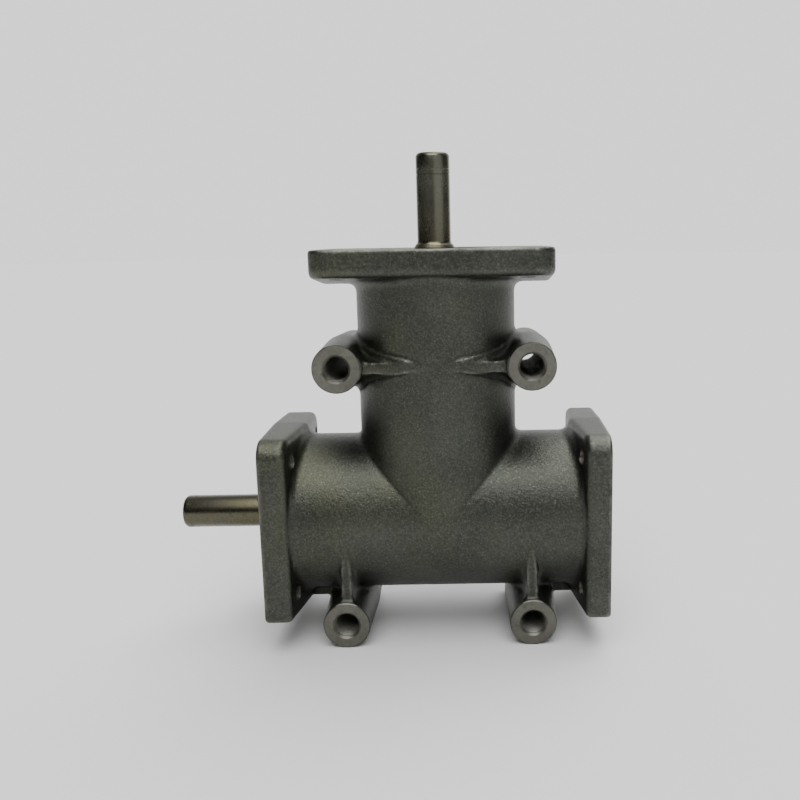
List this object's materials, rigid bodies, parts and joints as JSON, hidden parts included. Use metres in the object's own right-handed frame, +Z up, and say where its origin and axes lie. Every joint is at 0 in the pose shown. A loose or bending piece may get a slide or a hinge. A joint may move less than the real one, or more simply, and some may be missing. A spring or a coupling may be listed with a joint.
{
  "type": "right angle bevel gearbox",
  "caption": "T-shaped cast aluminium right angle gearbox with square flanges, drilled mounting bosses and two equal shafts joined by mitre gears.",
  "frame": {"origin": "centre of the bounding box seen from above, on the level that the two lower mounting bosses stand on; the shaft axes cross at x 0.02075, z 0.05145", "axes": "+X along the horizontal shaft, from its free end towards the closed flange; +Y from the front bosses to the rear ones; +Z up along the vertical shaft"},
  "size_m": [0.1826, 0.072, 0.203],
  "materials": {
    "cast_aluminium": "as-cast, grainy grey-green, machined faces lighter",
    "shaft_steel": "ground steel with an olive-brown oil film",
    "gear_steel": "machined, oiled",
    "bearing_steel": "ground, bright",
    "spring_steel": "phosphated black",
    "cage_brass": "pressed, oiled",
    "black_rubber": "matte nitrile rubber"
  },
  "bodies": {
    "housing": {"housing": "cast_aluminium", "left_bearing_outer_ring": "bearing_steel", "right_bearing_outer_ring": "bearing_steel", "lower_bearing_outer_ring": "bearing_steel", "upper_bearing_outer_ring": "bearing_steel", "left_oil_seal": "black_rubber", "top_oil_seal": "black_rubber", "end_cap": "black_rubber", "left_bearing_outer_circlip": "spring_steel", "left_bearing_inner_circlip": "spring_steel", "right_bearing_circlip": "spring_steel", "lower_bearing_circlip": "spring_steel", "upper_bearing_circlip": "spring_steel"},
    "horizontal_shaft": {"horizontal_shaft": "shaft_steel", "bevel_gear": "gear_steel", "gear_key": "spring_steel", "gear_front_circlip": "spring_steel", "gear_back_circlip": "spring_steel", "left_bearing_inner_ring": "bearing_steel", "right_bearing_inner_ring": "bearing_steel"},
    "vertical_shaft": {"vertical_shaft": "shaft_steel", "bevel_pinion": "gear_steel", "pinion_key": "spring_steel", "pinion_circlip": "spring_steel", "pinion_spacer": "gear_steel", "lower_bearing_inner_ring": "bearing_steel", "upper_bearing_inner_ring": "bearing_steel"},
    "left_ball_cage": {"left_bearing_ball_cage": "cage_brass"},
    "right_ball_cage": {"right_bearing_ball_cage": "cage_brass"},
    "lower_ball_cage": {"lower_bearing_ball_cage": "cage_brass"},
    "upper_ball_cage": {"upper_bearing_ball_cage": "cage_brass"}
  },
  "joints": [
    {"name": "horizontal_shaft_spin", "type": "hinge", "parent": "housing", "child": "horizontal_shaft", "pos_m": [0.02075, 0, 0.05145], "axis": [1, 0, 0], "continuous": true},
    {"name": "vertical_shaft_spin", "type": "hinge", "parent": "housing", "child": "vertical_shaft", "pos_m": [0.02075, 0, 0.05145], "axis": [0, 0, 1], "continuous": true},
    {"name": "left_cage_spin", "type": "hinge", "parent": "housing", "child": "left_ball_cage", "pos_m": [-0.03225, 0, 0.05145], "axis": [1, 0, 0], "continuous": true},
    {"name": "right_cage_spin", "type": "hinge", "parent": "housing", "child": "right_ball_cage", "pos_m": [0.07375, 0, 0.05145], "axis": [1, 0, 0], "continuous": true},
    {"name": "lower_cage_spin", "type": "hinge", "parent": "housing", "child": "lower_ball_cage", "pos_m": [0.02075, 0, 0.10445], "axis": [0, 0, 1], "continuous": true},
    {"name": "upper_cage_spin", "type": "hinge", "parent": "housing", "child": "upper_ball_cage", "pos_m": [0.02075, 0, 0.14345], "axis": [0, 0, 1], "continuous": true}
  ],
  "couplings": [
    {"joint": "vertical_shaft_spin", "follows": "horizontal_shaft_spin", "ratio": -1},
    {"joint": "left_cage_spin", "follows": "horizontal_shaft_spin", "ratio": 0.3719},
    {"joint": "right_cage_spin", "follows": "horizontal_shaft_spin", "ratio": 0.3719},
    {"joint": "lower_cage_spin", "follows": "horizontal_shaft_spin", "ratio": -0.3719},
    {"joint": "upper_cage_spin", "follows": "horizontal_shaft_spin", "ratio": -0.3719}
  ]
}
